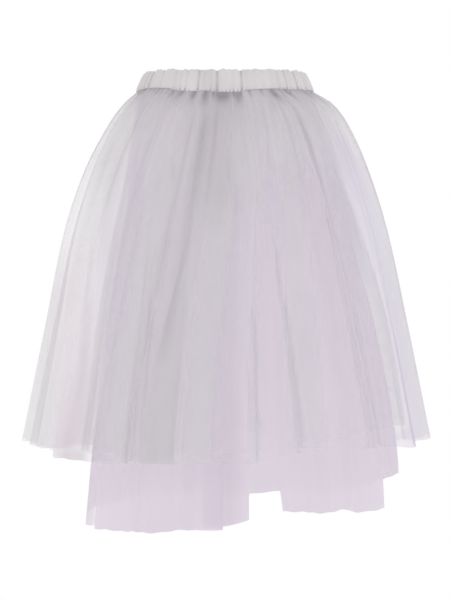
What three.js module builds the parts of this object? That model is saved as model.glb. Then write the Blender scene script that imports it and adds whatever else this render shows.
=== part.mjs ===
// A gathered tulle skirt: an elastic waistband, and under it an outer layer of grey net, a middle
// layer of the same net, and a longer under layer of lilac net in three panels with raw hems.
// The skirt keeps the round, hollow form that it has when it is worn.
//
// Millimetres, +Z up. The origin is the middle of the waist, at half the waistband's height.
// An angle is in degrees round the waist from the centre front (-Y), positive towards +X.
// A drop is how far a point hangs below the origin.

import * as THREE from "three";

// ---- Driving dimensions ----
const BAND_HEIGHT = 31;
const BAND_THICK = 4.6; // elastic inside a folded casing
const BAND_HALF_WIDTH = 127; // to the casing's outside, at half its height
const BAND_HALF_DEPTH = 99;
const BAND_TAPER = 6; // the foot stands this far outside the middle, and the top this far inside
const BAND_TOP_SAG = 5; // how far the casing's top edge sags at the centre front
const BAND_FOOT_SAG = 10.5; // and its foot, which the net hangs from
const BAND_FOOT_RISE = 2.5; // the foot stands this much higher all round before it sags
const BAND_PUFF = 1.2; // how far the casing swells between two creases
const BAND_STEPS = 144;

const NET_WALL = 1.2;
const EASE_TIMES = 2; // rounds of smoothing along each section
const SEAM_GAP = 0.3;
const LAYER_CLEARANCE = 4.5; // kept between a fold's deepest point and the next layer's crests
const GATHER_COUNT = 44; // small puckers where the cloth leaves the band
const GATHER_DEPTH = 2.6;
const GATHER_END = 140; // drop at which the puckers have opened out

const WAIST_DROP = BAND_HEIGHT / 2 + SEAM_GAP; // top edge of the three layers
const HEM_DROP = 545; // where the widths below are those of the outer hem
const SAG_END = 160; // drop by which the net no longer follows the band's foot
const RING_DROPS = [WAIST_DROP, 34, 70, 130, 220, 350]; // sections above the hem
const LONG_RING_DROPS = [...RING_DROPS, 520]; // and those of the longer under layer

// ---- Outlines: a row for each section, with the half widths of the layer's crests ----
const OUTER_OUTLINE = [
  { drop: 15.8, left: 131.9, right: 131.9, front: 103.9, back: 103.9 },
  { drop: 34, left: 153, right: 163, front: 119, back: 119 },
  { drop: 70, left: 179, right: 189, front: 142, back: 143 },
  { drop: 130, left: 211, right: 216, front: 168, back: 171 },
  { drop: 220, left: 241, right: 244, front: 193, back: 197 },
  { drop: 350, left: 267, right: 272, front: 216, back: 220 },
  { drop: 545, left: 306, right: 311, front: 247, back: 249 },
];
const MIDDLE_OUTLINE = [
  { drop: 15.8, left: 130.4, right: 130.4, front: 102.4, back: 102.4 },
  { drop: 34, left: 134, right: 138, front: 106, back: 106 },
  { drop: 70, left: 139, right: 149, front: 113, back: 113 },
  { drop: 130, left: 149, right: 171, front: 127, back: 130 },
  { drop: 220, left: 168, right: 205, front: 149, back: 155 },
  { drop: 350, left: 192, right: 244, front: 179, back: 182 },
  { drop: 545, left: 217, right: 279, front: 208, back: 208 },
];
const UNDER_OUTLINE = [
  { drop: 15.8, left: 128.9, right: 128.9, front: 100.9, back: 100.9 },
  { drop: 34, left: 130.5, right: 133, front: 102, back: 102 },
  { drop: 70, left: 133, right: 141, front: 105, back: 106 },
  { drop: 130, left: 140, right: 157, front: 116, back: 118 },
  { drop: 220, left: 154, right: 184, front: 136, back: 140 },
  { drop: 350, left: 175, right: 222, front: 160, back: 164 },
  { drop: 520, left: 197, right: 255, front: 182, back: 184 },
  { drop: 655, left: 210, right: 264, front: 194, back: 196 },
];

// ---- Hems: the drop of the raw edge at angles round the skirt ----
const OUTER_HEM = [
  { at: -90, drop: 531 },
  { at: -66, drop: 535 },
  { at: -58, drop: 539 },
  { at: -51, drop: 547 },
  { at: -10, drop: 547 },
  { at: 12, drop: 544 },
  { at: 20, drop: 533 },
  { at: 30, drop: 511 },
  { at: 38, drop: 515 },
  { at: 46, drop: 530 },
  { at: 60, drop: 535 },
  { at: 90, drop: 527 },
  { at: 110, drop: 540 },
  { at: 130, drop: 546 },
  { at: 165, drop: 537 },
  { at: 200, drop: 548 },
  { at: 240, drop: 555 },
  { at: 258, drop: 548 },
  { at: 270, drop: 531 },
];
const MIDDLE_HEM = [
  { at: -90, drop: 548 },
  { at: -45, drop: 543 },
  { at: 0, drop: 538 },
  { at: 40, drop: 520 },
  { at: 60, drop: 507 },
  { at: 90, drop: 511 },
  { at: 140, drop: 534 },
  { at: 190, drop: 541 },
  { at: 235, drop: 532 },
  { at: 270, drop: 548 },
];
const UNDER_LEFT_HEM = [
  { at: -90, drop: 660 },
  { at: -60, drop: 656 },
  { at: -39, drop: 653 },
  { at: -18, drop: 647 },
  { at: -8, drop: 643 },
  { at: 2, drop: 640 },
  { at: 8, drop: 629 },
];
const UNDER_RIGHT_HEM = [
  { at: 8, drop: 619 },
  { at: 20, drop: 624 },
  { at: 27, drop: 625 },
  { at: 41, drop: 622 },
  { at: 50, drop: 628 },
  { at: 64, drop: 626 },
];
const UNDER_BACK_HEM = [
  { at: 64, drop: 584 },
  { at: 84, drop: 580 },
  { at: 105, drop: 597 },
  { at: 135, drop: 623 },
  { at: 165, drop: 631 },
  { at: 172, drop: 635 },
  { at: 205, drop: 630 },
  { at: 240, drop: 637 },
  { at: 270, drop: 646 },
];

// ---- Folds: a row for each, in order round the layer ----
// top, hem: the fold's angle at the waist and at the hem
// turn: how much of the cloth is in one of the fold's two bends, in degrees
// lap: how far the cloth lies back over itself, in degrees, with 0 for an open flute
// before, after: how far inside the outline the cloth hangs on either side, at the hem
// full: the drop at which the lap has its whole width, FOLDS_FULL if no other is given
const FOLDS_START = 80;
const FOLDS_FULL = 212;
const OUTER_FRONT_FOLDS = [
  { top: -90, hem: -90, turn: 1, lap: 0, before: 4, after: 4 },
  { top: -81, hem: -83, turn: 1.5, lap: 0, before: 0, after: 0 },
  { top: -72, hem: -76, turn: 2, lap: 0, before: 20, after: 20 },
  { top: -62, hem: -68, turn: 1.5, lap: 0, before: 0, after: 0 },
  { top: -52, hem: -60, turn: 2, lap: 0, before: 17, after: 17 },
  { top: -42, hem: -51, turn: 2, lap: 0, before: 1, after: 1 },
  { top: -21, hem: -33, turn: 1.8, lap: 13, before: 1, after: 22 },
  { top: -8.5, hem: -18.6, turn: 1.7, lap: 9.2, before: 22, after: 2, full: 500 },
  { top: 2, hem: -8, turn: 1.6, lap: 8, before: 2, after: 23 },
  { top: 13, hem: 7.2, turn: 1.3, lap: 2.4, before: 3, after: 16 },
  { top: 26, hem: 22.8, turn: 1.9, lap: 12, before: 22, after: 1 },
  { top: 33, hem: 36, turn: 1.5, lap: 0, before: 10, after: 10 },
  { top: 43.5, hem: 48.8, turn: 1.8, lap: 14, before: 1, after: 24 },
  { top: 57, hem: 62, turn: 1.8, lap: 0, before: 2, after: 2 },
  { top: 67, hem: 71, turn: 1.6, lap: 0, before: 17, after: 17 },
  { top: 78, hem: 81, turn: 1.8, lap: 0, before: 0, after: 0 },
  { top: 90, hem: 90, turn: 1, lap: 0, before: 4, after: 4 },
];
const OUTER_BACK_FOLDS = [
  { top: 90, hem: 90, turn: 1, lap: 0, before: 4, after: 4 },
  { top: 98, hem: 99, turn: 2, lap: 0, before: 1, after: 1 },
  { top: 107, hem: 108, turn: 1.8, lap: 0, before: 19, after: 19 },
  { top: 117, hem: 116, turn: 2, lap: 0, before: 2, after: 2 },
  { top: 127, hem: 127, turn: 1.8, lap: 8, before: 1, after: 22 },
  { top: 139, hem: 139, turn: 2, lap: 0, before: 3, after: 3 },
  { top: 148, hem: 148, turn: 1.6, lap: 0, before: 20, after: 20 },
  { top: 157, hem: 156, turn: 1.8, lap: 0, before: 1, after: 1 },
  { top: 169, hem: 169, turn: 1.8, lap: 10, before: 23, after: 2 },
  { top: 180, hem: 181, turn: 1.8, lap: 0, before: 18, after: 18 },
  { top: 189, hem: 190, turn: 1.8, lap: 0, before: 1, after: 1 },
  { top: 200, hem: 202, turn: 1.8, lap: 8, before: 1, after: 21 },
  { top: 211, hem: 213, turn: 1.8, lap: 0, before: 3, after: 3 },
  { top: 220, hem: 222, turn: 1.7, lap: 0, before: 21, after: 21 },
  { top: 229, hem: 230, turn: 2, lap: 0, before: 1, after: 1 },
  { top: 240, hem: 240, turn: 2.2, lap: 0, before: 18, after: 18 },
  { top: 251, hem: 251, turn: 2.2, lap: 0, before: 2, after: 2 },
  { top: 261, hem: 261, turn: 1.6, lap: 0, before: 15, after: 15 },
  { top: 270, hem: 270, turn: 1, lap: 0, before: 4, after: 4 },
];
const MIDDLE_FRONT_FOLDS = [
  { top: -90, hem: -90, turn: 1, lap: 0, before: 2, after: 2 },
  { top: -78, hem: -79, turn: 2.5, lap: 0, before: 12, after: 12 },
  { top: -66, hem: -67, turn: 2.5, lap: 0, before: 0, after: 0 },
  { top: -53, hem: -55, turn: 2.5, lap: 0, before: 14, after: 14 },
  { top: -41, hem: -43, turn: 3, lap: 0, before: 1, after: 1 },
  { top: -29, hem: -32, turn: 2.5, lap: 0, before: 16, after: 16 },
  { top: -16, hem: -20, turn: 3, lap: 0, before: 0, after: 0 },
  { top: -4, hem: -7, turn: 2.5, lap: 0, before: 15, after: 15 },
  { top: 8, hem: 7, turn: 3, lap: 0, before: 2, after: 2 },
  { top: 20, hem: 21, turn: 2.5, lap: 0, before: 16, after: 16 },
  { top: 31, hem: 34, turn: 3, lap: 0, before: 0, after: 0 },
  { top: 43, hem: 47, turn: 2.5, lap: 0, before: 15, after: 15 },
  { top: 56, hem: 60, turn: 3, lap: 0, before: 2, after: 2 },
  { top: 70, hem: 73, turn: 2.5, lap: 0, before: 14, after: 14 },
  { top: 90, hem: 90, turn: 2, lap: 0, before: 2, after: 2 },
];
const MIDDLE_BACK_FOLDS = [
  { top: 90, hem: 90, turn: 2, lap: 0, before: 2, after: 2 },
  { top: 105, hem: 105, turn: 3, lap: 0, before: 14, after: 14 },
  { top: 119, hem: 118, turn: 3, lap: 0, before: 1, after: 1 },
  { top: 133, hem: 133, turn: 3, lap: 0, before: 15, after: 15 },
  { top: 148, hem: 147, turn: 3, lap: 0, before: 0, after: 0 },
  { top: 163, hem: 163, turn: 3, lap: 0, before: 16, after: 16 },
  { top: 178, hem: 179, turn: 3, lap: 0, before: 1, after: 1 },
  { top: 193, hem: 194, turn: 3, lap: 0, before: 15, after: 15 },
  { top: 208, hem: 209, turn: 3, lap: 0, before: 0, after: 0 },
  { top: 224, hem: 225, turn: 3, lap: 0, before: 14, after: 14 },
  { top: 240, hem: 240, turn: 3, lap: 0, before: 2, after: 2 },
  { top: 256, hem: 256, turn: 3, lap: 0, before: 12, after: 12 },
  { top: 270, hem: 270, turn: 1, lap: 0, before: 2, after: 2 },
];
const UNDER_LEFT_FOLDS = [
  { top: -90, hem: -90, turn: 1, lap: 0, before: 1, after: 1 },
  { top: -77, hem: -78, turn: 3, lap: 0, before: 13, after: 13 },
  { top: -62, hem: -62, turn: 3, lap: 0, before: 1, after: 1 },
  { top: -48, hem: -47, turn: 3, lap: 0, before: 16, after: 16 },
  { top: -33, hem: -33, turn: 3, lap: 0, before: 2, after: 2 },
  { top: -20, hem: -20, turn: 2.5, lap: 0, before: 12, after: 12 },
  { top: -6, hem: -5, turn: 1.8, lap: 8, before: 1, after: 19 },
  { top: 7.5, hem: 7.5, turn: 1, lap: 0, before: 6, after: 6 },
];
const UNDER_RIGHT_FOLDS = [
  { top: 7.5, hem: 7.5, turn: 1, lap: 0, before: 6, after: 6 },
  { top: 20, hem: 25, turn: 2.5, lap: 0, before: 15, after: 15 },
  { top: 33, hem: 37, turn: 3, lap: 0, before: 2, after: 2 },
  { top: 47, hem: 49, turn: 2.5, lap: 0, before: 15, after: 15 },
  { top: 58, hem: 59, turn: 2, lap: 0, before: 2, after: 2 },
  { top: 64, hem: 64, turn: 1, lap: 0, before: 5, after: 5 },
];
const UNDER_BACK_FOLDS = [
  { top: 64, hem: 64, turn: 1, lap: 0, before: 5, after: 5 },
  { top: 78, hem: 77, turn: 3, lap: 0, before: 14, after: 14 },
  { top: 93, hem: 91, turn: 3, lap: 0, before: 0, after: 0 },
  { top: 108, hem: 108, turn: 3, lap: 0, before: 15, after: 15 },
  { top: 124, hem: 123, turn: 3, lap: 0, before: 1, after: 1 },
  { top: 140, hem: 140, turn: 3, lap: 0, before: 17, after: 17 },
  { top: 156, hem: 155, turn: 3, lap: 0, before: 0, after: 0 },
  { top: 171, hem: 172, turn: 3, lap: 0, before: 16, after: 16 },
  { top: 187, hem: 188, turn: 3, lap: 0, before: 1, after: 1 },
  { top: 203, hem: 204, turn: 3, lap: 0, before: 17, after: 17 },
  { top: 219, hem: 220, turn: 3, lap: 0, before: 0, after: 0 },
  { top: 236, hem: 236, turn: 3, lap: 0, before: 15, after: 15 },
  { top: 253, hem: 253, turn: 3, lap: 0, before: 2, after: 2 },
  { top: 270, hem: 270, turn: 1, lap: 0, before: 1, after: 1 },
];

// The front vent of the under layer: its right edge swings away from its left edge below VENT_TOP.
const VENT_TOP = 380;
const VENT_FOOT = 640;
const VENT_OPEN = 11; // degrees

// ---- Creases of the gathered waistband: angle, depth in millimetres, half width in degrees ----
const BAND_CREASES = [
  { at: -77, deep: 1.2, half: 2.4 },
  { at: -69, deep: 1.6, half: 2.2 },
  { at: -61, deep: 2.2, half: 2.4 },
  { at: -47, deep: 0.8, half: 3.2 },
  { at: -33, deep: 1.5, half: 2.6 },
  { at: -25.5, deep: 1.2, half: 2.4 },
  { at: -17.5, deep: 1.7, half: 2.4 },
  { at: -12, deep: 1.1, half: 2.2 },
  { at: -5.5, deep: 2.3, half: 2.4 },
  { at: 5.3, deep: 1.3, half: 2.2 },
  { at: 10.5, deep: 2.3, half: 2.4 },
  { at: 17.5, deep: 1.1, half: 2.6 },
  { at: 27, deep: 0.8, half: 3 },
  { at: 38, deep: 1.4, half: 2.6 },
  { at: 44, deep: 1.3, half: 2.4 },
  { at: 52, deep: 2.2, half: 2.4 },
  { at: 58, deep: 1.5, half: 2.2 },
  { at: 66, deep: 1.4, half: 2.4 },
  { at: 76, deep: 1.7, half: 2.6 },
  { at: 86, deep: 1.3, half: 2.4 },
  { at: 97, deep: 1.9, half: 2.8 },
  { at: 106, deep: 1.2, half: 2.4 },
  { at: 117, deep: 2, half: 2.6 },
  { at: 125, deep: 1.3, half: 2.4 },
  { at: 137, deep: 1.7, half: 2.8 },
  { at: 146, deep: 1.1, half: 2.4 },
  { at: 155, deep: 2.1, half: 2.6 },
  { at: 166, deep: 1.3, half: 2.8 },
  { at: 175, deep: 1.8, half: 2.4 },
  { at: 183, deep: 1.2, half: 2.4 },
  { at: 194, deep: 2, half: 2.8 },
  { at: 203, deep: 1.4, half: 2.4 },
  { at: 214, deep: 1.7, half: 2.6 },
  { at: 223, deep: 1.1, half: 2.4 },
  { at: 234, deep: 2.1, half: 2.6 },
  { at: 244, deep: 1.3, half: 2.6 },
  { at: 254, deep: 1.8, half: 2.4 },
  { at: 263, deep: 1.2, half: 2.4 },
  { at: 274, deep: 1.6, half: 2.4 },
];

const NET_GREY = { color: 0xcbc5cb, roughness: 0.85, metalness: 0 };
const NET_LILAC = { color: 0xd9cfdd, roughness: 0.85, metalness: 0 };
const BAND_CLOTH = { color: 0xd1cdce, roughness: 0.8, metalness: 0 };

// ---- Small helpers ----
const degrees = (angle) => (angle * Math.PI) / 180;
const mix = (a, b, share) => a + (b - a) * share;
const smooth = (low, high, x) => THREE.MathUtils.smoothstep(x, low, high);

// A smooth curve through a table's rows: column `out` read at `x` in column `key`.
function readCurve(table, key, out, x) {
  const last = table.length - 1;
  const inside = THREE.MathUtils.clamp(x, table[0][key], table[last][key]);
  let i = 0;
  while (i < last - 1 && table[i + 1][key] < inside) i += 1;
  const slopeAt = (k) => {
    const before = table[Math.max(k - 1, 0)];
    const after = table[Math.min(k + 1, last)];
    return (after[out] - before[out]) / (after[key] - before[key]);
  };
  const from = table[i];
  const to = table[i + 1];
  const span = to[key] - from[key];
  const t = (inside - from[key]) / span;
  const pull = (to[out] - from[out]) / span;
  const bendFrom = slopeAt(i) - pull;
  const bendTo = slopeAt(i + 1) - pull;
  return mix(from[out], to[out], t) + span * t * (1 - t) * (bendFrom * (1 - t) - bendTo * t);
}

// A closed surface from rows of points that all have the same length. The rows close on themselves
// where `ring` is true, and the row of points closes on itself in any case.
function solidFromLoops(loops, ring) {
  const across = loops[0].length;
  const positions = loops.flat().flatMap((p) => [p.x, p.y, p.z]);
  const faces = [];
  const quads = ring ? loops.length : loops.length - 1;
  for (let i = 0; i < quads; i += 1) {
    const here = i * across;
    const next = ((i + 1) % loops.length) * across;
    for (let j = 0; j < across; j += 1) {
      const side = (j + 1) % across;
      faces.push(here + j, next + j, next + side, here + j, next + side, here + side);
    }
  }
  const geometry = new THREE.BufferGeometry();
  geometry.setAttribute("position", new THREE.Float32BufferAttribute(positions, 3));
  geometry.setIndex(faces);
  return geometry;
}

// ---- The sag of the waist at the centre front ----
const frontShare = (angle) => Math.max(Math.cos(degrees(angle)), 0) ** 3;
const footShift = (angle) => BAND_FOOT_RISE - BAND_FOOT_SAG * frontShare(angle);
const topShift = (angle) => -BAND_TOP_SAG * frontShare(angle);

// ---- Net layers ----
// The point of a layer's outline at an angle and drop, and the way that faces outwards there.
function outlineAt(outline, angle, drop) {
  const sine = Math.sin(degrees(angle));
  const cosine = Math.cos(degrees(angle));
  const halfWidth = readCurve(outline, "drop", sine < 0 ? "left" : "right", drop);
  const halfDepth = readCurve(outline, "drop", cosine > 0 ? "front" : "back", drop);
  const outwards = new THREE.Vector2(sine / halfWidth, -cosine / halfDepth).normalize();
  return { point: new THREE.Vector2(halfWidth * sine, -halfDepth * cosine), outwards };
}

// How far a fold may reach in before it meets the layer inside it.
function roomInside(layer, angle, drop) {
  if (!layer.inner) return Infinity;
  const own = outlineAt(layer.outline, angle, drop);
  const inner = outlineAt(layer.inner, angle, drop);
  const gap = own.point.clone().sub(inner.point).dot(own.outwards);
  return Math.max(gap - LAYER_CLEARANCE, 0);
}

// A fold's angle at a drop: it drifts from its place at the waist to its place at the hem.
function foldAngle(fold, drop) {
  return mix(fold.top, fold.hem, smooth(0, 1, (drop - WAIST_DROP) / (HEM_DROP - WAIST_DROP)));
}

// How a layer's folds stand at a drop: the angle of each, its width as a share of its width at
// the hem, how far the laps have formed and how far the cloth hangs in from the outline.
function foldsAt(folds, drop) {
  const angles = folds.map((fold) => foldAngle(fold, drop));
  const shares = folds.map((_, i) => {
    const from = Math.max(i - 1, 0);
    const to = Math.min(i + 1, folds.length - 1);
    return Math.min((angles[to] - angles[from]) / (folds[to].hem - folds[from].hem), 1);
  });
  const formed = folds.map(({ full = FOLDS_FULL }) => smooth(FOLDS_START, full, drop));
  const grown = Math.min(((drop - WAIST_DROP) / (HEM_DROP - WAIST_DROP)) ** 0.58, 1);
  return { angles, shares, formed, grown };
}

// The levels of the cloth along a layer's hem, from those on either side of each fold. Between an
// open flute and its neighbour the cloth rises or falls evenly.
function levelKeys(folds) {
  return folds.flatMap(({ hem, turn, lap, before, after }) => {
    if (lap === 0) {
      return [
        { at: hem - 0.5 * turn, level: before },
        { at: hem + 0.5 * turn, level: after },
      ];
    }
    const clear = Math.max(lap / 2 + 0.6 * turn, 1.61 * turn);
    return [
      { at: hem - clear, level: before },
      { at: hem - 1.6 * turn, level: before },
      { at: hem - 0.45 * turn, level: mix(before, after, 0.44) },
      { at: hem + 0.45 * turn, level: mix(before, after, 0.56) },
      { at: hem + 1.6 * turn, level: after },
      { at: hem + clear, level: after },
    ];
  });
}

// How far inside the outline the cloth hangs at the hem.
function levelAt(keys, cloth) {
  const next = keys.findIndex((key) => key.at > cloth);
  if (next < 0) return keys[keys.length - 1].level;
  if (next === 0) return keys[0].level;
  const from = keys[next - 1];
  const to = keys[next];
  return mix(from.level, to.level, smooth(from.at, to.at, cloth));
}

// The angle where the cloth ends up once it has drifted with its folds and each of them has laid
// it back over itself.
function foldedAngle(folds, state, cloth) {
  let next = 1;
  while (next < folds.length - 1 && folds[next].hem < cloth) next += 1;
  const from = folds[next - 1].hem;
  const share = (cloth - from) / (folds[next].hem - from);
  let angle = mix(state.angles[next - 1], state.angles[next], share);
  folds.forEach(({ hem, turn, lap }, i) => {
    if (lap === 0) return;
    const x = (cloth - hem) / turn;
    const shift = state.formed[i] * state.shares[i] * (turn + lap / 2);
    angle -= shift * x * Math.exp((1 - x * x) / 2);
  });
  return angle;
}

// The puckers under the band: none at the seam, most of them a little below it, none further down.
function gatherDepth(angle, drop) {
  const fade = smooth(WAIST_DROP, WAIST_DROP + 14, drop) * (1 - smooth(60, GATHER_END, drop));
  const wave = Math.sin(degrees(angle * GATHER_COUNT) + 1.3 * Math.sin(degrees(angle * 7)));
  return GATHER_DEPTH * fade * (0.5 + 0.5 * wave);
}

// A point on a layer's middle surface: `cloth` is its place along the cloth, as its hem angle.
function netPoint(layer, state, cloth, drop) {
  const angle = layer.place(foldedAngle(layer.folds, state, cloth), drop);
  const { point, outwards } = outlineAt(layer.outline, angle, drop);
  const wanted = state.grown * levelAt(layer.levels, cloth) + gatherDepth(angle, drop);
  const depth = Math.min(wanted, roomInside(layer, angle, drop));
  return point.addScaledVector(outwards, -depth);
}

// Places along the cloth, closer together where it turns, so that few points draw each fold.
function clothPlaces(layer) {
  const fine = 2400;
  const places = [];
  for (let i = 0; i <= fine; i += 1) places.push(mix(layer.from, layer.to, i / fine));
  const state = foldsAt(layer.folds, HEM_DROP);
  const points = places.map((cloth) => netPoint(layer, state, cloth, HEM_DROP));
  const turnWeight = 13; // a radian of turning counts as this many millimetres of length
  const run = [0];
  for (let i = 1; i <= fine; i += 1) {
    const step = points[i].clone().sub(points[i - 1]);
    const before = i > 1 ? points[i - 1].clone().sub(points[i - 2]) : step;
    const turned = Math.abs(Math.atan2(step.cross(before), step.dot(before)));
    run.push(run[i - 1] + step.length() + turnWeight * turned);
  }
  const chosen = [];
  let i = 0;
  for (let k = 0; k <= layer.steps; k += 1) {
    const goal = (run[fine] * k) / layer.steps;
    while (i < fine - 1 && run[i + 1] < goal) i += 1;
    chosen.push(mix(places[i], places[i + 1], (goal - run[i]) / (run[i + 1] - run[i])));
  }
  return chosen;
}

// Rounds a row's tightest bends: each point moves halfway to the middle of its two neighbours.
function easeRow(row, times) {
  if (times === 0) return row;
  const eased = row.map((p, i) => {
    if (i === 0 || i === row.length - 1) return p;
    return row[i - 1].clone().add(row[i + 1]).multiplyScalar(0.25).addScaledVector(p, 0.5);
  });
  return easeRow(eased, times - 1);
}

// Half the wall on either side of a row of points, square to the row at each of them. At the two
// ends the wall is cut off square to the outline, so that neighbours meet with an even gap.
function wallSides(row, half, endsOutwards) {
  const last = row.length - 1;
  const sides = { out: [], in: [] };
  row.forEach((p, i) => {
    const outwards = new THREE.Vector2();
    if (i === 0 || i === last) {
      outwards.copy(endsOutwards[i === 0 ? 0 : 1]).multiplyScalar(half);
    } else {
      const before = p.clone().sub(row[i - 1]).normalize();
      const after = row[i + 1].clone().sub(p).normalize();
      const along = before.clone().add(after).normalize();
      const stretch = Math.min(1 / Math.max(along.dot(after), 0.5), 1.6);
      outwards.set(along.y, -along.x).multiplyScalar(half * stretch);
    }
    sides.out.push(p.clone().add(outwards));
    sides.in.push(p.clone().sub(outwards));
  });
  return sides;
}

// A point of the net at its drop, lifted or sunk with the foot of the band near the waist.
function hang(p, drop) {
  const angle = THREE.MathUtils.radToDeg(Math.atan2(p.x / BAND_HALF_WIDTH, -p.y / BAND_HALF_DEPTH));
  const follows = 1 - smooth(WAIST_DROP, SAG_END, drop);
  return new THREE.Vector3(p.x, p.y, follows * footShift(angle) - drop);
}

// A panel of net as a thin closed wall, section by section from its raw hem up to the waist.
function netPanel(layer) {
  const places = clothPlaces(layer);
  const sections = [null, ...layer.rings.toReversed()].map((ringDrop) => {
    const drops = places.map((cloth) => ringDrop ?? readCurve(layer.hem, "at", "drop", cloth));
    const sharp = places.map((cloth, i) => {
      return netPoint(layer, foldsAt(layer.folds, drops[i]), cloth, drops[i]);
    });
    const row = easeRow(sharp, EASE_TIMES);
    const endsOutwards = [0, row.length - 1].map((i) => {
      return outlineAt(layer.outline, layer.place(places[i], drops[i]), drops[i]).outwards;
    });
    return { drops, ...wallSides(row, NET_WALL / 2, endsOutwards) };
  });
  const loops = places.map((_, i) => [
    ...sections.map((s) => hang(s.out[i], s.drops[i])),
    ...sections.map((s) => hang(s.in[i], s.drops[i])).reverse(),
  ]);
  const geometry = solidFromLoops(loops, false);
  return closeEnds(geometry, loops.length, loops[0].length);
}

// Closes the two upright edges of a panel: the wall's outer and inner points are joined in pairs.
function closeEnds(geometry, rows, across) {
  const faces = Array.from(geometry.index.array);
  const last = (rows - 1) * across;
  for (let k = 0; k < across / 2 - 1; k += 1) {
    const far = across - 1 - k;
    faces.push(k, k + 1, far - 1, k, far - 1, far);
    faces.push(last + k, last + far - 1, last + k + 1, last + k, last + far, last + far - 1);
  }
  geometry.setIndex(faces);
  return geometry;
}

// ---- Waistband ----
// How much a crease pulls the casing in at an angle: 0 on a smooth stretch.
function creaseAt(angle) {
  let deep = 0;
  for (const crease of BAND_CREASES) {
    const away = Math.abs(THREE.MathUtils.euclideanModulo(angle - crease.at + 180, 360) - 180);
    deep = Math.max(deep, crease.deep * (1 - smooth(0, crease.half, away)));
  }
  return deep;
}

// The casing's section at an angle, from its foot up the outside and down the inside.
function bandSection(angle) {
  const crease = creaseAt(angle);
  const swell = BAND_PUFF - crease;
  const topDip = 0.5 * crease;
  const half = BAND_HEIGHT / 2;
  const rows = [
    { out: 0, height: -half },
    { out: swell, height: -0.55 * half },
    { out: swell, height: 0.45 * half },
    { out: -0.9, height: half - topDip },
    { out: -BAND_THICK + 0.9, height: half - topDip },
    { out: -BAND_THICK, height: 0.5 * half },
    { out: -BAND_THICK, height: -half },
  ];
  const sine = Math.sin(degrees(angle));
  const cosine = Math.cos(degrees(angle));
  const outwards = new THREE.Vector2(sine / BAND_HALF_WIDTH, -cosine / BAND_HALF_DEPTH).normalize();
  return rows.map(({ out, height }) => {
    const flare = out - (BAND_TAPER * height) / half;
    const x = BAND_HALF_WIDTH * sine + outwards.x * flare;
    const y = -BAND_HALF_DEPTH * cosine + outwards.y * flare;
    const shift = mix(footShift(angle), topShift(angle), (height + half) / BAND_HEIGHT);
    return new THREE.Vector3(x, y, height + shift);
  });
}

function waistband() {
  const loops = [];
  for (let i = 0; i < BAND_STEPS; i += 1) loops.push(bandSection((360 * i) / BAND_STEPS - 90));
  return solidFromLoops(loops, true);
}

// ---- The skirt ----
// An edge beside a seam stands half the seam's gap away from it.
const seamAngle = (SEAM_GAP / 2 / BAND_HALF_DEPTH) * (180 / Math.PI);

// The right front panel's cloth is pushed round as the vent opens, most at its left edge.
function ventedPlace(cloth, drop) {
  const nearVent = 1 - smooth(7.5, 45, cloth);
  return cloth + VENT_OPEN * nearVent * smooth(VENT_TOP, VENT_FOOT, drop);
}

const straight = (cloth) => cloth;
const outer = { outline: OUTER_OUTLINE, inner: MIDDLE_OUTLINE, hem: OUTER_HEM, rings: RING_DROPS };
const middle = { outline: MIDDLE_OUTLINE, inner: UNDER_OUTLINE, hem: MIDDLE_HEM, rings: RING_DROPS };
const under = { outline: UNDER_OUTLINE, rings: LONG_RING_DROPS };
const underLeft = { ...under, folds: UNDER_LEFT_FOLDS, hem: UNDER_LEFT_HEM };
const underRight = { ...under, folds: UNDER_RIGHT_FOLDS, hem: UNDER_RIGHT_HEM, place: ventedPlace };
const underBack = { ...under, folds: UNDER_BACK_FOLDS, hem: UNDER_BACK_HEM };
const PANELS = [
  { name: "outer_front", ...outer, folds: OUTER_FRONT_FOLDS, from: -90, to: 90, steps: 140 },
  { name: "outer_back", ...outer, folds: OUTER_BACK_FOLDS, from: 90, to: 270, steps: 104 },
  { name: "middle_front", ...middle, folds: MIDDLE_FRONT_FOLDS, from: -90, to: 90, steps: 60 },
  { name: "middle_back", ...middle, folds: MIDDLE_BACK_FOLDS, from: 90, to: 270, steps: 52 },
  { name: "under_left", ...underLeft, from: -90, to: 7.5, steps: 38 },
  { name: "under_right", ...underRight, from: 7.5, to: 64, steps: 22 },
  { name: "under_back", ...underBack, from: 64, to: 270, steps: 62 },
];

const skirt = new THREE.Group();

function addMesh(name, geometry, finish) {
  geometry.computeVertexNormals();
  const mesh = new THREE.Mesh(geometry, new THREE.MeshStandardMaterial(finish));
  mesh.name = name;
  skirt.add(mesh);
}

addMesh("waistband", waistband(), BAND_CLOTH);
for (const panel of PANELS) {
  const levels = levelKeys(panel.folds);
  const [from, to] = [panel.from + seamAngle, panel.to - seamAngle];
  const cut = { place: straight, ...panel, levels, from, to };
  addMesh(panel.name, netPanel(cut), panel.name.startsWith("under") ? NET_LILAC : NET_GREY);
}

export default skirt;
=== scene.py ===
"""A gathered tulle skirt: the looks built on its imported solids.

Sizes are in millimetres and turned into metres where a mesh is made. The origin is the middle of
the waist, +Z is up and the front faces -Y. An angle is in degrees round the waist from the centre
front, positive towards +X, and a drop is how far a point hangs below the origin.
"""

import math

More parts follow.
